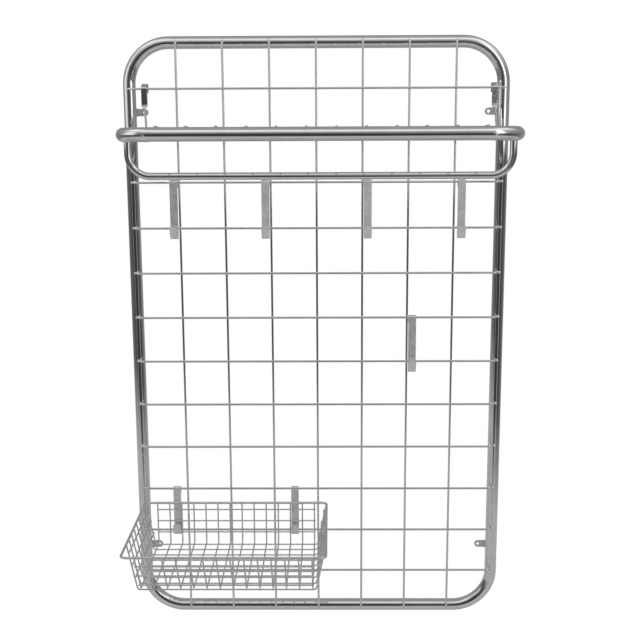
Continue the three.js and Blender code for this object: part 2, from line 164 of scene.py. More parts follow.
def metal(name, dark, light, rough, patch_scale, grain, scratch, metallic=1.0, dents=0.0):
    """Plated metal. dark and light are the colours of its patches and rough is their (least, most) roughness.

    grain, scratch and dents are the heights of its fine pits, hairlines and shallow waves.
    """
    material = bpy.data.materials.new(name)
    material.use_nodes = True
    n = Nodes(material.node_tree)
    place = n.add("TexCoord").outputs["Object"]
    patches = n.add("TexNoise", {"Vector": place, "Scale": patch_scale, "Detail": 6, "Roughness": 0.62})
    speck_scale = patch_scale * SPECKS_TO_PATCHES
    specks = n.add("TexNoise", {"Vector": place, "Scale": speck_scale, "Detail": 3, "Roughness": 0.5})
    patch = n.ramp(patches, [(0.32, 0.0), (0.68, 1.0)])
    colour = n.mix(patch, (*dark, 1), (*light, 1))
    speck_colour = tuple(c * SPECK_DARKNESS for c in dark) + (1,)
    speckled = n.mix(n.ramp(specks, [(0.3, 0.0), (0.42, 1.0)]), speck_colour, colour)
    lengthwise = n.add("Mapping", {"Vector": place, "Scale": HAIRLINE_SCALE})
    hairlines = n.add("TexNoise", {"Vector": lengthwise, "Scale": 1.0, "Detail": 4, "Roughness": 0.7})
    rough_value = n.add("MapRange", {0: patches, 1: 0.3, 2: 0.7, 3: rough[0], 4: rough[1]})
    rough_fine = n.math("ADD", rough_value, n.math("MULTIPLY", n.math("SUBTRACT", hairlines, 0.5), scratch))
    fine = n.add("TexNoise", {"Vector": place, "Scale": METAL_GRAIN_SCALE, "Detail": 3})
    height = n.math("ADD", n.math("MULTIPLY", fine, grain), n.math("MULTIPLY", hairlines, scratch))
    if dents:
        waves = n.add("TexNoise", {"Vector": place, "Scale": DENT_SCALE, "Detail": 2})
        height = n.math("ADD", height, n.math("MULTIPLY", waves, dents))
    bump = n.add("Bump", {"Strength": 0.35, "Distance": 0.0002, "Height": height})
    shader = n.add("BsdfPrincipled", {"Base Color": speckled, "Roughness": rough_fine, "Normal": bump})
    shader.inputs["Metallic"].default_value = metallic
    n.add("OutputMaterial", {"Surface": shader})
    return material


def plastic(name, colour, rough):
    material = bpy.data.materials.new(name)
    material.use_nodes = True
    n = Nodes(material.node_tree)
    place = n.add("TexCoord").outputs["Object"]
    grain = n.add("TexNoise", {"Vector": place, "Scale": PLASTIC_GRAIN_SCALE, "Detail": 4})
    dust = n.add("TexNoise", {"Vector": place, "Scale": DUST_SCALE, "Detail": 5})
    dusty = tuple(c + 0.05 for c in colour) + (1,)
    tone = n.mix(n.ramp(dust, [(0.45, 0.0), (0.75, 1.0)]), (*colour, 1), dusty)
    rough_value = n.add("MapRange", {0: dust, 3: rough - 0.08, 4: rough + 0.12})
    bump = n.add("Bump", {"Strength": 0.4, "Distance": 0.0001, "Height": grain})
    shader = n.add("BsdfPrincipled", {"Base Color": tone, "Roughness": rough_value, "Normal": bump})
    n.add("OutputMaterial", {"Surface": shader})
    return material


chrome = metal(
    "chrome_plate", (0.8, 0.8, 0.815), (0.87, 0.87, 0.88), rough=(0.02, 0.06),
    patch_scale=35, grain=0.015, scratch=0.008)
bright = metal(
    "bright_wire", (0.72, 0.72, 0.73), (0.84, 0.84, 0.85), rough=(0.08, 0.16),
    patch_scale=60, grain=0.06, scratch=0.02)
satin = metal(
    "satin_zinc", (0.76, 0.77, 0.75), (0.99, 0.99, 0.97), rough=(0.2, 0.34),
    patch_scale=120, grain=0.5, scratch=0.1, metallic=0.36, dents=2.0)
# A copy of the satin zinc painted lighter, paler and less metallic, so hooks 2 to 4 look more brightly lit:
# painted light.
satin_painted_lighter = metal(
    "satin_zinc_painted_lighter", (0.78, 0.79, 0.77), (1.0, 1.0, 0.99), rough=(0.14, 0.3),
    patch_scale=70, grain=0.5, scratch=0.1, metallic=0.12, dents=3.0)
strip_chrome = metal(
    "strip_chrome", (0.7, 0.7, 0.71), (0.87, 0.87, 0.88), rough=(0.03, 0.1),
    patch_scale=60, grain=0.1, scratch=0.02, dents=7.0)
hook_zinc = metal(
    "bright_hook_zinc", (0.8, 0.8, 0.8), (0.98, 0.98, 0.98), rough=(0.12, 0.26),
    patch_scale=150, grain=0.3, scratch=0.06, metallic=0.5, dents=3.0)
tray_wire = metal(
    "tray_wire_zinc", (0.78, 0.77, 0.76), (0.93, 0.92, 0.91), rough=(0.28, 0.4),
    patch_scale=110, grain=0.5, scratch=0.1)
pale = metal(
    "pale_zinc", (0.74, 0.71, 0.64), (0.9, 0.87, 0.8), rough=(0.4, 0.55),
    patch_scale=140, grain=0.8, scratch=0.15, metallic=0.4)
weld = metal(
    "weld_spots", (0.7, 0.7, 0.69), (0.9, 0.9, 0.89), rough=(0.2, 0.35),
    patch_scale=400, grain=0.4, scratch=0.1)
black = plastic("black_plastic", (0.02, 0.02, 0.022), 0.45)

# ---- Mesh building: a section swept along a route of straights and arcs


STRAIGHT = math.radians(0.01)  # a smaller turn than this is no bend


def route(corners, radius, closed=False, steps=8):
    """Stations (point, direction) through the corners; each corner is rounded to the radius."""
    corners = [Vector(c) for c in corners]
    count = len(corners)
    stations = []
    if not closed:
        stations.append((corners[0], (corners[1] - corners[0]).normalized()))
    for i in range(count) if closed else range(1, count - 1):
        at = corners[i]
        into = (at - corners[i - 1]).normalized()
        away = (corners[(i + 1) % count] - at).normalized()
        turn = into.angle(away)
        if turn < STRAIGHT:
            stations.append((at, into))
            continue
        axis = into.cross(away).normalized()
        inwards = axis.cross(into)
        start = at - into * radius * math.tan(turn / 2)
        centre = start + inwards * radius
        for step in range(steps + 1):
            spin = Matrix.Rotation(turn * step / steps, 3, axis)
            stations.append((centre - (spin @ inwards) * radius, spin @ into))
    if not closed:
        stations.append((corners[-1], (corners[-1] - corners[-2]).normalized()))
    return stations


def round_section(radius, sides):
    """A section is a function of how far it is drawn in, used for rounded ends."""

    def at(inset):
        r = radius - inset
        turns = [2 * math.pi * k / sides for k in range(sides)]
        return [(r * math.cos(a), r * math.sin(a)) for a in turns]

    return at


def strip_section(thickness, width, edge, steps=4):
    """A flat bar with rounded edges; its thickness lies along the sweep's normal."""

    def at(inset):
        points = []
        u, v = thickness / 2 - edge, width / 2 - edge
        r = edge - inset
        for k, (su, sv) in enumerate(((1, 1), (-1, 1), (-1, -1), (1, -1))):
            for step in range(steps + 1):
                a = math.pi / 2 * (k + step / steps)
                points.append((su * u + r * math.cos(a), sv * v + r * math.sin(a)))
        return points

    return at


def sweep(bm, stations, section, normal, closed=False, end_round=0.0, twists=None):
    """Adds the swept skin to bm. normal is the section's first axis at the start.

    end_round rounds the free ends. twists turns the section about the sweep, by one angle for each station.
    """
    normal = Vector(normal)
    rings = []
    for i, (point, along) in enumerate(stations):
        normal = (normal - along * normal.dot(along)).normalized()
        across = Matrix.Rotation(twists[i], 3, along) @ normal if twists else normal.copy()
        rings.append((point, across, along, 0.0))
    if not closed and end_round:
        rings = rounded_end(rings[0], -end_round) + rings[1:-1] + rounded_end(rings[-1], end_round)
    loops = []
    for point, across, along, inset in rings:
        binormal = along.cross(across)
        loops.append([bm.verts.new(point + across * u + binormal * v) for u, v in section(inset)])
    sides = range(len(loops[0]))
    for a, b in list(zip(loops, loops[1:])) + ([(loops[-1], loops[0])] if closed else []):
        for k in sides:
            after = (k + 1) % len(sides)
            bm.faces.new((a[k], a[after], b[after], b[k]))
    if not closed:
        for cap in (bm.faces.new(list(reversed(loops[0]))), bm.faces.new(loops[-1])):
            for edge in cap.edges:
                edge.smooth = False


ROUND_END_SHARE = 0.96  # a rounded end stops just short of a point, so its last face keeps an area


def rounded_end(ring, reach):
    """The rings that round off one end. reach is negative at the start of a sweep."""
    point, across, along, _ = ring
    steps = 4
    rings = []
    for k in range(steps + 1):
        a = math.pi / 2 * k / steps
        back = reach * (1 - math.sin(a))
        rings.append((point - along * back, across, along, abs(reach) * (1 - math.cos(a)) * ROUND_END_SHARE))
    return rings if reach > 0 else list(reversed(rings))


def piece(name, bm, material, body, slot, *nodes, smooth=True):
    """Turns bm into a piece that rides on a body, takes the given material and stands for the CAD nodes. slot
    is not used.
    """
    bmesh.ops.recalc_face_normals(bm, faces=bm.faces)
    mesh = bpy.data.meshes.new(name)
    bm.to_mesh(mesh)
    bm.free()
    for polygon in mesh.polygons:
        polygon.use_smooth = smooth
    mesh.materials.append(material)
    obj = bpy.data.objects.new(name, mesh)
    bpy.context.scene.collection.objects.link(obj)
    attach(obj, body)
    if nodes:
        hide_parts(*nodes)
    return obj


def blob(bm, centre, size, lumps=0.12):
    """A small weld bead: a squashed, slightly uneven ball."""
    centre = Vector(centre)
    rows, columns = 5, 8
    grid = []
    for i in range(1, rows):
        a = math.pi * i / rows
        ring = []
        for j in range(columns):
            b = 2 * math.pi * j / columns
            ball = Vector((math.sin(a) * math.cos(b), math.sin(a) * math.sin(b), math.cos(a)))
            ring.append(bm.verts.new(centre + ball * Vector(size) * random.uniform(1 - lumps, 1 + lumps)))
        grid.append(ring)
    top = bm.verts.new(centre + Vector((0, 0, size[2])))
    bottom = bm.verts.new(centre - Vector((0, 0, size[2])))
    for j in range(columns):
        after = (j + 1) % columns
        bm.faces.new((top, grid[0][j], grid[0][after]))
        bm.faces.new((bottom, grid[-1][after], grid[-1][j]))
        for a, b in zip(grid, grid[1:]):
            bm.faces.new((a[j], b[j], b[after], a[after]))


def weighted(obj):
    """Keeps the flat faces of a piece flat where they meet its rounded edges."""
    obj.modifiers.new("normals", "WEIGHTED_NORMAL").keep_sharp = True
    return obj


def middle(node):
    low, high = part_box(node)
    return (low + high) / 2


def faceted(radius, facets):
    """How far a CAD rod of that many facets reaches from its axis, along X, Y or Z."""
    return radius * math.cos(math.pi / facets)


# ---- Frame and grid

frame_low, frame_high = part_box("frame_tube")
left, right = frame_low.x + TUBE_R, frame_high.x - TUBE_R
bottom, top = frame_low.z + TUBE_R, frame_high.z - TUBE_R
tube_y = middle("frame_tube").y
corners = [(left, tube_y, bottom), (right, tube_y, bottom), (right, tube_y, top), (left, tube_y, top)]
bm = bmesh.new()
loop = route(corners, FRAME_CORNER_R, closed=True, steps=20)
sweep(bm, loop, round_section(TUBE_R, TUBE_SIDES), (0, 1, 0), closed=True)
piece("rack_frame_tube", bm, chrome, "rack", "chrome", "frame_tube")

column_x = []
for column in range(1, GRID_COLUMNS + 1):
    node = f"grid_vertical_{column}"
    low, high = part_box(node)
    at = middle(node)
    column_x.append(at.x)
    bm = bmesh.new()
    stations = route([(at.x, at.y, low.z), (at.x, at.y, high.z)], 0)
    sweep(bm, stations, round_section(WIRE_R, WIRE_SIDES), (0, 1, 0), end_round=WIRE_R)
    piece(f"rack_upright_wire_{column}", bm, bright, "rack", "bright_wire", node)
    wire_y = at.y

row_z = []
for row in range(1, GRID_ROWS + 1):
    node = f"grid_horizontal_{row}"
    low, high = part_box(node)
    front_y = low.y + faceted(WIRE_R, WIRE_FACETS)
    z = middle(node).z
    row_z.append(z)
    half = [(low.x, wire_y, z), (-STEP_TO, wire_y, z), (-STEP_FROM, front_y, z)]
    stations = route(half + [(-x, y, z) for x, y, z in reversed(half)], STEP_BEND_R, steps=4)
    bm = bmesh.new()
    sweep(bm, stations, round_section(WIRE_R, WIRE_SIDES), (0, 0, 1), end_round=WIRE_R)
    piece(f"rack_cross_wire_{row}", bm, bright, "rack", "bright_wire", node)

# Half sizes of the weld beads, and how far inside the upright's middle a lug's bead lies
CROSSING_BEAD = (1.5 * MM, 0.9 * MM, 1.5 * MM)
UPRIGHT_BEAD = (2.2 * MM, 0.7 * MM, 1.9 * MM)
RUN_BEAD = (1.9 * MM, 0.7 * MM, 2.4 * MM)
LUG_BEAD = (4.5 * MM, 1.2 * MM, 1.3 * MM)
LUG_BEAD_INSET = 6 * MM

bm = bmesh.new()
cross_y = (wire_y + front_y) / 2
for z in row_z:
    for x in column_x:
        blob(bm, (x, cross_y, z), CROSSING_BEAD)
    for x in (left, right):
        blob(bm, (x, wire_y + WIRE_R, z), UPRIGHT_BEAD)
for x in column_x:
    for z in (bottom, top):
        blob(bm, (x, wire_y + WIRE_R, z), RUN_BEAD)
for height in ("upper", "lower"):
    for side, x in (("left", left + LUG_BEAD_INSET), ("right", right - LUG_BEAD_INSET)):
        low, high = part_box(f"wall_lug_{height}_{side}")
        for end in (low.z, high.z):
            blob(bm, (x, low.y, end), LUG_BEAD)
piece("rack_weld_spots", bm, weld, "rack", "bright_wire")

# ---- Wall lugs: flat tabs with a round end, a drilled hole and broken edges

LUG_HOLE_R = 2.5 * MM
LUG_EDGE = 0.3 * MM


def lug(name, low, high, inwards):
    """A tab from low to high. inwards is the way along X from the upright to the tab's round end."""
    bm = bmesh.new()
    r = (high.z - low.z) / 2
    z = (high.z + low.z) / 2
    back = low.x if inwards > 0 else high.x
    tip = (high.x if inwards > 0 else low.x) - inwards * r
    steps = 24
    outer, hole = [], []
    for k in range(steps):
        a = -math.pi / 2 + math.pi * k / (steps - 1)
        outer.append((tip + inwards * r * math.cos(a), z + r * math.sin(a)))
    outer = [(back, z - r)] + outer + [(back, z + r)]
    for k in range(steps):
        a = 2 * math.pi * k / steps
        hole.append((tip + LUG_HOLE_R * math.cos(a), z + LUG_HOLE_R * math.sin(a)))

    def loop(points, y, inset):
        cx = sum(p[0] for p in points) / len(points)
        ring = []
        for x, pz in points:
            way = Vector((x - cx, pz - z)).normalized() * inset
            ring.append(bm.verts.new((x - way.x, y, pz - way.y)))
        return ring

    def wall(a, b):
        for k in range(len(a)):
            after = (k + 1) % len(a)
            bm.faces.new((a[k], a[after], b[after], b[k]))

    rings = [loop(outer, low.y, LUG_EDGE), loop(outer, low.y + LUG_EDGE, 0), loop(outer, high.y, 0)]
    for a, b in zip(rings, rings[1:]):
        wall(a, b)
    holes = [loop(hole, low.y, -LUG_EDGE), loop(hole, low.y + LUG_EDGE, 0), loop(hole, high.y, 0)]
    for a, b in zip(holes, holes[1:]):
        wall(a, b)
    for ring, inner in ((rings[0], holes[0]), (rings[-1], holes[-1])):
        edges = [bm.edges.get((r[k], r[(k + 1) % len(r)])) for r in (ring, inner) for k in range(len(r))]
        bmesh.ops.triangle_fill(bm, use_beauty=True, edges=edges)
    return weighted(piece(name.replace("wall_lug", "rack_lug"), bm, pale, "rack", "pale_zinc", name))


for height in ("upper", "lower"):
    for side, inwards in (("left", 1), ("right", -1)):
        name = f"wall_lug_{height}_{side}"
        lug(name, *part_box(name), inwards)

# ---- Hat shelf

TUBE_END_ROUND = 0.8 * MM
shelf_low, shelf_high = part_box("shelf_tube")
arm_reach = faceted(TUBE_R, TUBE_FACETS)
arm_x = {-1: shelf_low.x + arm_reach, 1: shelf_high.x - arm_reach}
rail_y = shelf_low.y + arm_reach
rail_z = shelf_high.z - arm_reach
ARM_END_Y = -33.5 * MM
ARM_FALL = 9 * MM  # from the rail back to the arms' ends
arm_end_z = rail_z - ARM_FALL


def arm_z(y):
    """The height of the arms' centrelines."""
    return rail_z + (arm_end_z - rail_z) * (y - rail_y) / (ARM_END_Y - rail_y)


def on_arm(side, y):
    return Vector((arm_x[side], y, arm_z(y)))


bm = bmesh.new()
corners = [on_arm(-1, ARM_END_Y), on_arm(-1, rail_y), on_arm(1, rail_y), on_arm(1, ARM_END_Y)]
u_shape = route(corners, SHELF_CORNER_R, steps=20)
sweep(bm, u_shape, round_section(TUBE_R, TUBE_SIDES), (0, 0, 1), end_round=TUBE_END_ROUND)
piece("shelf_u_tube", bm, chrome, "hat_shelf", "chrome", "shelf_tube")

coat_low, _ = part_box("coat_rail")
coat_y = middle("coat_rail").y
coat_z = coat_low.z + faceted(COAT_RAIL_R, COAT_RAIL_FACETS)
leg_top = arm_z(coat_y) - TUBE_R
bm = bmesh.new()
corners = [
    (arm_x[-1], coat_y, leg_top),
    (arm_x[-1], coat_y, coat_z),
    (arm_x[1], coat_y, coat_z),
    (arm_x[1], coat_y, leg_top),
]
stations = route(corners, COAT_RAIL_CORNER_R, steps=16)
sweep(bm, stations, round_section(COAT_RAIL_R, COAT_RAIL_SIDES), (0, 1, 0))
piece("shelf_coat_rail", bm, chrome, "hat_shelf", "chrome", "coat_rail")

SHELF_WIRES = 12
SHELF_WIRE_R = 1.5 * MM
CROSS_ROD_R = 3 * MM
SHELF_WIRE_PITCH = 42.4 * MM
SHELF_WIRE_BEND_R = 10 * MM
SHELF_WIRE_REAR = 4 * MM  # the level stretch on each side of the cross rod's middle
SHELF_WIRE_FRONT = 12 * MM  # the level stretch that lies on the rail
SHELF_WIRE_SINK = 0.5 * MM  # the wires are pressed this far into the rod when they are welded
SHELF_WIRES_X = 10.5 * MM
CROSS_ROD_Y = -46 * MM
wires_low, wires_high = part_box("shelf_wires")
rod_z = arm_z(CROSS_ROD_Y)
first_x = SHELF_WIRES_X - (SHELF_WIRES - 1) / 2 * SHELF_WIRE_PITCH
bm = bmesh.new()
rod = [(wires_low.x, CROSS_ROD_Y, rod_z), (wires_high.x, CROSS_ROD_Y, rod_z)]
sweep(bm, route(rod, 0), round_section(CROSS_ROD_R, ROD_SIDES), (0, 0, 1))
rear_z = rod_z + CROSS_ROD_R + SHELF_WIRE_R - SHELF_WIRE_SINK
front_z = wires_high.z - SHELF_WIRE_R
tip_y = wires_low.y
for i in range(SHELF_WIRES):
    x = first_x + i * SHELF_WIRE_PITCH
    corners = [
        (x, CROSS_ROD_Y + SHELF_WIRE_REAR, rear_z),
        (x, CROSS_ROD_Y - SHELF_WIRE_REAR, rear_z),
        (x, tip_y + SHELF_WIRE_FRONT, front_z),
        (x, tip_y, front_z),
    ]
    stations = route(corners, SHELF_WIRE_BEND_R, steps=3)
    sweep(bm, stations, round_section(SHELF_WIRE_R, SHELF_WIRE_SIDES), (1, 0, 0), end_round=SHELF_WIRE_R)
piece("shelf_wire_set", bm, bright, "hat_shelf", "bright_wire", "shelf_wires")

ROD_BEAD = (2.2 * MM, 2.2 * MM, 0.9 * MM)
RAIL_BEAD = (2.0 * MM, 2.4 * MM, 0.9 * MM)
RAIL_BEAD_SETBACK = 2 * MM
LEG_BEAD = (6.6 * MM, 6.6 * MM, 1.4 * MM)
ARM_BEAD = (1.2 * MM, 4 * MM, 4 * MM)
ARM_BEAD_OFFSET = 10.2 * MM  # from the arm's middle to the bead at the end of the cross rod

bm = bmesh.new()
for i in range(SHELF_WIRES):
    x = first_x + i * SHELF_WIRE_PITCH
    blob(bm, (x, CROSS_ROD_Y, rod_z + CROSS_ROD_R), ROD_BEAD)
    blob(bm, (x, tip_y + RAIL_BEAD_SETBACK, front_z - SHELF_WIRE_R), RAIL_BEAD)
for side in (-1, 1):
    blob(bm, (arm_x[side], coat_y, leg_top), LEG_BEAD)
    blob(bm, (arm_x[side] - side * ARM_BEAD_OFFSET, CROSS_ROD_Y, rod_z), ARM_BEAD)
piece("shelf_weld_beads", bm, weld, "hat_shelf", "bright_wire")

# ---- Hanger bars and strip hooks

HANGER_X = {-1: -275.8 * MM, 1: 286.5 * MM}
HANGER_W = 10 * MM
HANGER_REAR_REACH = 13 * MM  # from the front leg back to the tail
HANGER_TAIL = 7 * MM  # the tail's end, below the wire
HANGER_REAR_RISE = 9.3 * MM  # the two ends of the slanting top, above the wire
HANGER_FRONT_RISE = 1.8 * MM
HANGER_TWIST_DROP = 25 * MM  # the bar turns a quarter round over this length, from this far below the wire
HANGER_TWIST_LENGTH = 10 * MM
HANGER_TWIST_STEPS = 16
HANGER_FOOT_Y = -40 * MM
HANGER_FOOT_GAP = 0.8 * MM
HANGER_FOOT_BEAD = (2 * MM, 5 * MM, 1.1 * MM)
HANGER_FOOT_BEAD_DROP = 0.6 * MM


def hanger(side, name):
    """A bar that hooks over the top cross wire, turns a quarter round and goes down to the shelf's arm."""
    x = HANGER_X[side]
    wire_z = row_z[0]
    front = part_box("grid_horizontal_1")[0].y + faceted(WIRE_R, WIRE_FACETS) - STRIP_BEND_R
    rear = front + HANGER_REAR_REACH
    twist_top = Vector((x, front, wire_z - HANGER_TWIST_DROP))
    foot = on_arm(side, HANGER_FOOT_Y) + Vector((0, 0, TUBE_R + HANGER_FOOT_GAP))
    down = (foot - twist_top).normalized()
    twist = down * HANGER_TWIST_LENGTH
    corners = [
        (x, rear, wire_z - HANGER_TAIL),
        (x, rear, wire_z + HANGER_REAR_RISE),
        (x, front, wire_z + HANGER_FRONT_RISE),
        *(twist_top + twist * k / HANGER_TWIST_STEPS for k in range(HANGER_TWIST_STEPS + 1)),
        foot,
    ]
    stations = route(corners, STRIP_BEND_R, steps=8)
    twists = []
    for point, _ in stations:
        along = (point - twist_top).dot(down) / HANGER_TWIST_LENGTH
        share = min(max(along, 0), 1) if point.z <= twist_top.z else 0
        twists.append(math.pi / 2 * share * share * (3 - 2 * share))
    bm = bmesh.new()
    section = strip_section(STRIP_T, HANGER_W, STRIP_EDGE)
    sweep(bm, stations, section, (0, 1, 0), end_round=STRIP_END_ROUND, twists=twists)
    blob(bm, foot - Vector((0, 0, HANGER_FOOT_BEAD_DROP)), HANGER_FOOT_BEAD)
    return weighted(piece(f"shelf_{name}", bm, strip_chrome, "hat_shelf", "chrome", name))


hanger(-1, "hanger_bar_left")
hanger(1, "hanger_bar_right")

HOOK_TAIL = 9 * MM  # the end that goes down behind the wire
HOOK_LIP = 21 * MM
HOOK_LIP_LEAN = math.radians(30)  # from upright, outwards


def strip_hook(name, material):
    """A strip bent over a cross wire, with a trough and a leaning lip at its lower end."""
    low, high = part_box(name)
    x = (low.x + high.x) / 2
    wire_z = high.z - STRIP_BEND_R - STRIP_T / 2
    rear = high.y - STRIP_T / 2
    front = rear - 2 * STRIP_BEND_R
    arc_reach = STRIP_BEND_R * math.tan((math.pi - HOOK_LIP_LEAN) / 2)
    trough = low.z + STRIP_T / 2 + STRIP_BEND_R
    bottom = Vector((x, front, trough - arc_reach))
    lip = Vector((0, -math.sin(HOOK_LIP_LEAN), math.cos(HOOK_LIP_LEAN)))
    corners = [
        (x, rear, wire_z - HOOK_TAIL),
        (x, rear, wire_z + STRIP_BEND_R),
        (x, front, wire_z + STRIP_BEND_R),
        bottom,
        bottom + lip * (arc_reach + HOOK_LIP),
    ]
    bm = bmesh.new()
    section = strip_section(STRIP_T, high.x - low.x, STRIP_EDGE)
    sweep(bm, route(corners, STRIP_BEND_R, steps=12), section, (0, 1, 0), end_round=STRIP_END_ROUND)
    return weighted(piece(f"{name}_strip", bm, material, name, "satin_zinc", name))


# Hooks 1 and 5 take the satin zinc. Hooks 2 to 4 take its copy painted lighter, as painted light on the
# middle hooks.
for i, finish in enumerate((satin, satin_painted_lighter, satin_painted_lighter, satin_painted_lighter, satin), start=1):
    strip_hook(f"coat_hook_{i}", finish)
for side in ("left", "right"):
    strip_hook(f"tray_hook_{side}", hook_zinc)

# ---- Plugs in the ends of the shelf's arms

PLUG_SIDES = 36
PLUG_PROFILE = (  # how far outside the arm's end, and the radius there, in millimetres
    (-14, 6.8),  # the chamfered inner end of the stem
    (-13, 7.7),
    (0.3, 7.7),
    (0.3, 9.5),  # the cap, with its rounded edge
    (1.6, 9.5),
    (2.1, 9.1),
    (2.3, 8.4),
    (2.3, 4.5),  # the shallow dish in the cap's middle
    (1.9, 4),
)


def plug(side, name):
    """A plug turned about the arm's axis, with its stem in the arm's open end."""
    outwards = (on_arm(side, ARM_END_Y) - on_arm(side, rail_y)).normalized()
    start = on_arm(side, ARM_END_Y)
    across = outwards.cross(Vector((1, 0, 0))).normalized()
    side_way = outwards.cross(across)
    bm = bmesh.new()
    rings = []
    for out, r in PLUG_PROFILE:
        centre = start + outwards * out * MM
        ring = []
        for k in range(PLUG_SIDES):
            a = 2 * math.pi * k / PLUG_SIDES
            spoke = across * math.cos(a) + side_way * math.sin(a)
            ring.append(bm.verts.new(centre + spoke * r * MM))
        rings.append(ring)
    for a, b in zip(rings, rings[1:]):
        for k in range(PLUG_SIDES):
            after = (k + 1) % PLUG_SIDES
            bm.faces.new((a[k], a[after], b[after], b[k]))
    bm.faces.new(rings[0])
    bm.faces.new(rings[-1])
    return weighted(piece(f"{name}_cap", bm, black, "hat_shelf", "black_plastic", name))


plug(-1, "shelf_end_plug_left")
plug(1, "shelf_end_plug_right")

# ---- Letter tray

TRAY_WIRE_R = 1.25 * MM
RIM_R = 2 * MM
TRAY_BEND_R = 5 * MM
RIM_CORNER_R = 9 * MM
FRONT_SLOPE = 50.5 * MM  # how far the front leans outwards over its height
END_SLOPE = 15.7 * MM  # the same for the two ends
CROSS_WIRES = 14
LONG_WIRES = 9
WALL_WIRES = 3
LONG_INSET = 1.5 * MM
END_WIRE_SINK = 0.6 * MM  # the short end wires are pressed this far into the risers when they are welded
rim_low, rim_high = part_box("tray_rim_and_long_wires")
rim_left, rim_right = rim_low.x + RIM_R, rim_high.x - RIM_R
rim_rear, rim_front = rim_high.y - RIM_R, rim_low.y + RIM_R
rim_z = rim_high.z - RIM_R
wire_low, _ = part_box("tray_cross_wire_1")
base_z = wire_low.z + TRAY_WIRE_R
front_base_y = rim_front + FRONT_SLOPE
long_z = rim_low.z + TRAY_WIRE_R
tray_x = (rim_left + rim_right) / 2
first_long_y = rim_rear - LONG_INSET
last_long_y = front_base_y + LONG_INSET
tray_section = round_section(TRAY_WIRE_R, TRAY_WIRE_SIDES)


def long_wire_y(i):
    share = i / (LONG_WIRES - 1)
    return first_long_y * (1 - share) + last_long_y * share


bm = bmesh.new()
corners = [
    (rim_left, rim_rear, rim_z),
    (rim_right, rim_rear, rim_z),
    (rim_right, rim_front, rim_z),
    (rim_left, rim_front, rim_z),
]
rim = route(corners, RIM_CORNER_R, closed=True, steps=10)
sweep(bm, rim, round_section(RIM_R, RIM_SIDES), (0, 0, 1), closed=True)
end_low = (rim_right - rim_left) / 2 - END_SLOPE
for i in range(LONG_WIRES):
    y = long_wire_y(i)
    corners = [
        (rim_left, y, rim_z),
        (tray_x - end_low, y, long_z),
        (tray_x + end_low, y, long_z),
        (rim_right, y, rim_z),
    ]
    sweep(bm, route(corners, TRAY_BEND_R, steps=6), tray_section, (0, 1, 0))
for k in range(1, WALL_WIRES + 1):
    z = middle(f"tray_rear_wire_{k}").z
    half_w = (rim_right - rim_left) / 2 - END_SLOPE * (rim_z - z) / (rim_z - long_z)
    for side in (-1, 1):
        x = tray_x + side * (half_w - 2 * TRAY_WIRE_R + END_WIRE_SINK)
        ends = [(x, first_long_y + 2 * TRAY_WIRE_R, z), (x, last_long_y - 2 * TRAY_WIRE_R, z)]
        sweep(bm, route(ends, 0), tray_section, (0, 0, 1), end_round=TRAY_WIRE_R)
piece("tray_rim_set", bm, tray_wire, "letter_tray", "satin_zinc", "tray_rim_and_long_wires")

down = Vector((0, front_base_y - rim_front, base_z - rim_z)).normalized()
cross_x = []
for i in range(1, CROSS_WIRES + 1):
    node = f"tray_cross_wire_{i}"
    x = middle(node).x
    cross_x.append(x)
    corners = [
        (x, rim_rear, rim_z - RIM_R),
        (x, rim_rear, base_z),
        (x, front_base_y, base_z),
        Vector((x, rim_front, rim_z)) + down * RIM_R,
    ]
    bm = bmesh.new()
    sweep(bm, route(corners, TRAY_BEND_R, steps=8), tray_section, (1, 0, 0))
    piece(f"tray_bar_{i}", bm, tray_wire, "letter_tray", "satin_zinc", node)
for place in ("rear", "front"):
    for k in range(1, WALL_WIRES + 1):
        node = f"tray_{place}_wire_{k}"
        low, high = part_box(node)
        at = middle(node)
        bm = bmesh.new()
        stations = route([(low.x, at.y, at.z), (high.x, at.y, at.z)], 0)
        sweep(bm, stations, tray_section, (0, 0, 1), end_round=TRAY_WIRE_R)
        piece(f"tray_{place}_rod_{k}", bm, tray_wire, "letter_tray", "satin_zinc", node)

BASE_BEAD = (1.0 * MM, 1.0 * MM, 0.5 * MM)
WALL_BEAD = (1.0 * MM, 0.6 * MM, 1.0 * MM)
RIM_BEAD = (1.5 * MM, 1.3 * MM, 0.7 * MM)

bm = bmesh.new()
for x in cross_x:
    for i in range(LONG_WIRES):
        y = long_wire_y(i)
        if rim_rear - y > TRAY_BEND_R and y - front_base_y > TRAY_BEND_R:
            blob(bm, (x, y, (base_z + long_z) / 2), BASE_BEAD)
    for place in ("rear", "front"):
        for k in range(1, WALL_WIRES + 1):
            at = middle(f"tray_{place}_wire_{k}")
            depth = rim_z - at.z
            wall_y = rim_rear if place == "rear" else rim_front - down.y / down.z * depth
            blob(bm, (x, (at.y + wall_y) / 2, at.z), WALL_BEAD)
    blob(bm, (x, rim_rear, rim_z - RIM_R), RIM_BEAD)
    blob(bm, Vector((x, rim_front, rim_z)) + down * RIM_R, RIM_BEAD)
piece("tray_weld_spots", bm, weld, "letter_tray", "satin_zinc")

# ---- Floor and light

FLOOR_Z = -1.35  # the rack hangs at a usual height over the floor
FLOOR_R = 3.0
FLOOR_CENTRE_Y = -0.15
FLOOR_RINGS = 8
FLOOR_SIDES = 64
FLOOR_GLOW = 0.42


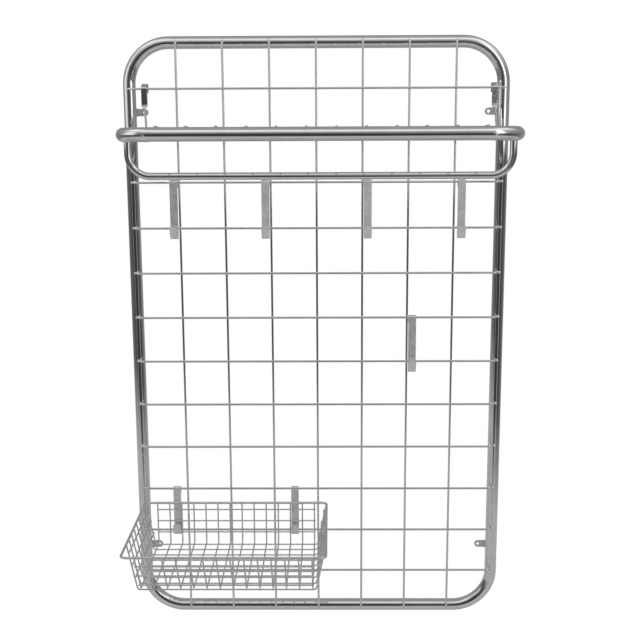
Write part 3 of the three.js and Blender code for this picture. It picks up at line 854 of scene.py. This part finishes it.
def studio_floor():
    """A pale floor that brightens outwards until it meets the white backdrop."""
    material = bpy.data.materials.new("floor_paint")
    material.use_nodes = True
    n = Nodes(material.node_tree)
    place = n.add("TexCoord").outputs["Object"]
    speckle = n.add("TexNoise", {"Vector": place, "Scale": 30, "Detail": 4})
    shade = n.mix(speckle, (0.86, 0.86, 0.86, 1), (0.9, 0.9, 0.9, 1))
    paint = n.add("BsdfPrincipled", {"Base Color": shade, "Roughness": 0.8, "Emission Color": shade})
    paint.inputs["Emission Strength"].default_value = FLOOR_GLOW
    centre = (0, FLOOR_CENTRE_Y, FLOOR_Z)
    outwards = n.add("VectorMath", {0: place, 1: centre}, operation="DISTANCE").outputs["Value"]
    fade = n.ramp(n.math("DIVIDE", outwards, FLOOR_R), [(0.05, 0.0), (0.2, 0.35), (0.42, 1.0)], "EASE")
    white = n.add("Emission", {"Color": (1, 1, 1, 1), "Strength": 1.0})
    n.add("OutputMaterial", {"Surface": n.add("MixShader", {0: fade, 1: paint, 2: white})})
    bm = bmesh.new()
    angles = [2 * math.pi * k / FLOOR_SIDES for k in range(FLOOR_SIDES)]
    rings = []
    for i in range(1, FLOOR_RINGS + 1):
        r = FLOOR_R * i / FLOOR_RINGS
        places = [(r * math.cos(a), FLOOR_CENTRE_Y + r * math.sin(a), FLOOR_Z) for a in angles]
        rings.append([bm.verts.new(place) for place in places])
    bm.faces.new(rings[0])
    for inner, outer in zip(rings, rings[1:]):
        for k in range(FLOOR_SIDES):
            after = (k + 1) % FLOOR_SIDES
            bm.faces.new((inner[k], outer[k], outer[after], inner[after]))
    mesh = bpy.data.meshes.new("floor")
    bm.to_mesh(mesh)
    bm.free()
    mesh.materials.append(material)
    floor = bpy.data.objects.new("floor", mesh)
    bpy.context.scene.collection.objects.link(floor)
    floor.visible_glossy = False
    floor.visible_diffuse = False


studio_floor()

RING_R = 2.25
RING_LOW = -1.5
RING_HIGH = 6.0
RING_SIDES = 96


def at(degrees):
    """The place on a ramp of a bearing from the front, counted to the right."""
    return (degrees + 180) / 360


def level(z):
    """The place on a ramp of a height on the ring."""
    return (z - RING_LOW) / (RING_HIGH - RING_LOW)


def rise(metres):
    """A height on the ring as a share of the ring's whole height."""
    return metres / (RING_HIGH - RING_LOW)


def bearing(n, xyz):
    """The bearing of a direction or a place, from 0 at the back through 0.5 in front to 1 at the back."""
    turn = n.math("ARCTAN2", xyz.outputs[0], n.math("MULTIPLY", xyz.outputs[1], -1.0))
    return n.add("MapRange", {0: turn, 1: -math.pi, 2: math.pi})


BEHIND = [(at(-115), 1.0), (at(-90), 0.0), (at(90), 0.0), (at(115), 1.0)]  # 1 behind the rack, 0 in front


def studio_ring():
    """What the metal mirrors: dark low down in front, bright strips beside, light overhead."""
    material = bpy.data.materials.new("studio_ring")
    material.use_nodes = True
    n = Nodes(material.node_tree)
    xyz = n.add("SeparateXYZ", {0: n.add("TexCoord").outputs["Object"]})
    tall = n.add("MapRange", {0: xyz.outputs[2], 1: RING_LOW, 2: RING_HIGH})
    around = bearing(n, xyz)
    # The level band between the dark zone and the overhead light, with a bright strip on each side
    beside = n.ramp(around, [
        (at(-180), 0.28), (at(-130), 0.26), (at(-112), 0.2), (at(-94), 0.42), (at(-76), (0.9, 0.88, 0.94)),
        (at(-58), (0.92, 0.9, 0.94)), (at(-44), 0.24), (at(-24), 0.07), (at(-2), 0.07), (at(6), 0.14),
        (at(18), 0.2), (at(26), 0.6), (at(34), (2.0, 2.0, 2.05)), (at(43), (2.0, 2.0, 2.05)), (at(50), 0.6),
        (at(62), 0.3), (at(120), 0.24), (at(150), 0.28), (at(180), 0.28)])
    # The dark zone low down, with a thin light streak on each side
    dark = n.ramp(around, [
        (at(-180), 0.3), (at(-130), 0.26), (at(-100), (0.14, 0.125, 0.12)), (at(-60), (0.11, 0.09, 0.08)),
        (at(-34), (0.06, 0.052, 0.046)), (at(-31), 0.3), (at(-28), 0.3), (at(-25), (0.05, 0.043, 0.04)),
        (at(14), 0.04), (at(24), 0.05), (at(27), 0.5), (at(30), 0.5), (at(33), 0.08), (at(60), 0.07),
        (at(95), 0.14), (at(130), 0.3), (at(180), 0.3)])
    above = n.ramp(tall, [
        (level(0.55), 0.08), (level(0.85), 0.24), (level(1.3), (0.4, 0.39, 0.38)),
        (level(1.7), (0.57, 0.56, 0.545)), (level(2.1), (0.76, 0.745, 0.73)),
        (level(2.7), (0.97, 0.96, 0.94)), (level(3.6), (0.95, 0.94, 0.92)), (level(4.6), 0.8),
        (level(6.0), 0.55)])
    over = n.mix(n.ramp(around, BEHIND), above, (0.29, 0.29, 0.29, 1))
    ground = (0.45, 0.445, 0.44, 1)
    # The dark zone's lower edge slopes from one side to the other and dips in front
    turn = n.add("MapRange", {0: around, 3: -math.pi, 4: math.pi})
    slope = n.math("MULTIPLY", n.math("SINE", turn), rise(0.13))
    dip = n.ramp(around, [
        (at(-36), 0.0), (at(-14), rise(0.12)), (at(-8), rise(0.27)), (at(6), rise(0.27)),
        (at(12), rise(0.075)), (at(36), 0.0)])
    hem = n.math("ADD", n.math("ADD", tall, slope), dip)
    low = n.mix(n.ramp(hem, [(level(-0.98), 0.0), (level(-0.6), 1.0)]), ground, dark)
    shelf_level = n.ramp(tall, [(level(0.22), 0.0), (level(0.28), 1.0)])
    # The bright strips reach further up than the rest of the band
    lift = n.ramp(around, [
        (at(-90), 0.0), (at(-78), rise(0.9)), (at(-54), rise(1.2)), (at(-36), 0.0), (at(20), 0.0),
        (at(29), rise(1.35)), (at(46), rise(1.35)), (at(58), 0.0)])
    overhead = n.ramp(n.math("SUBTRACT", tall, lift), [(level(0.6), 0.0), (level(0.95), 1.0)])
    colour = n.mix(overhead, n.mix(shelf_level, low, beside), over)
    n.add("OutputMaterial", {"Surface": n.add("Emission", {"Color": colour})})
    material.cycles.emission_sampling = "NONE"
    bm = bmesh.new()
    angles = [2 * math.pi * k / RING_SIDES for k in range(RING_SIDES)]
    rims = []
    for z in (RING_LOW, RING_HIGH):
        rims.append([bm.verts.new((RING_R * math.cos(a), RING_R * math.sin(a), z)) for a in angles])
    for k in range(RING_SIDES):
        after = (k + 1) % RING_SIDES
        bm.faces.new((rims[0][k], rims[0][after], rims[1][after], rims[1][k]))
    mesh = bpy.data.meshes.new("studio_ring")
    bm.to_mesh(mesh)
    bm.free()
    mesh.materials.append(material)
    ring = bpy.data.objects.new("studio_ring", mesh)
    bpy.context.scene.collection.objects.link(ring)
    ring.visible_camera = False
    ring.visible_diffuse = False
    ring.visible_shadow = False
    ring.visible_transmission = False


studio_ring()

# Light by elevation, one scale for the front and one for the back; the camera sees plain white instead

world = bpy.data.worlds.new("studio")
bpy.context.scene.world = world
world.use_nodes = True
n = Nodes(world.node_tree)
way = n.add("SeparateXYZ", {0: n.add("TexCoord").outputs["Generated"]})
elevation = n.add("MapRange", {0: n.math("ARCSINE", way.outputs[2]), 1: -math.pi / 2, 2: math.pi / 2})


def up(degrees):
    """The place on a ramp of an elevation."""
    return (degrees + 90) / 180


front = n.ramp(elevation, [
    (up(-90), 0.34), (up(-65), (0.48, 0.475, 0.465)), (up(-20), (0.45, 0.445, 0.44)), (up(0), 0.4),
    (up(64), 0.68), (up(72), 0.55), (up(80), 0.32), (up(90), 0.28)])
back = n.ramp(elevation, [(up(-90), 0.34), (up(-60), 0.3), (up(60), 0.32), (up(78), 0.4), (up(90), 0.28)])
studio = n.mix(n.ramp(bearing(n, way), BEHIND), front, back)
backdrop = n.add("Background", {"Color": (1, 1, 1, 1), "Strength": 1.0})
lit = n.add("Background", {"Color": studio, "Strength": 1.0})
seen = n.add("LightPath").outputs["Is Camera Ray"]
n.add("OutputWorld", {"Surface": n.add("MixShader", {0: seen, 1: lit, 2: backdrop})})
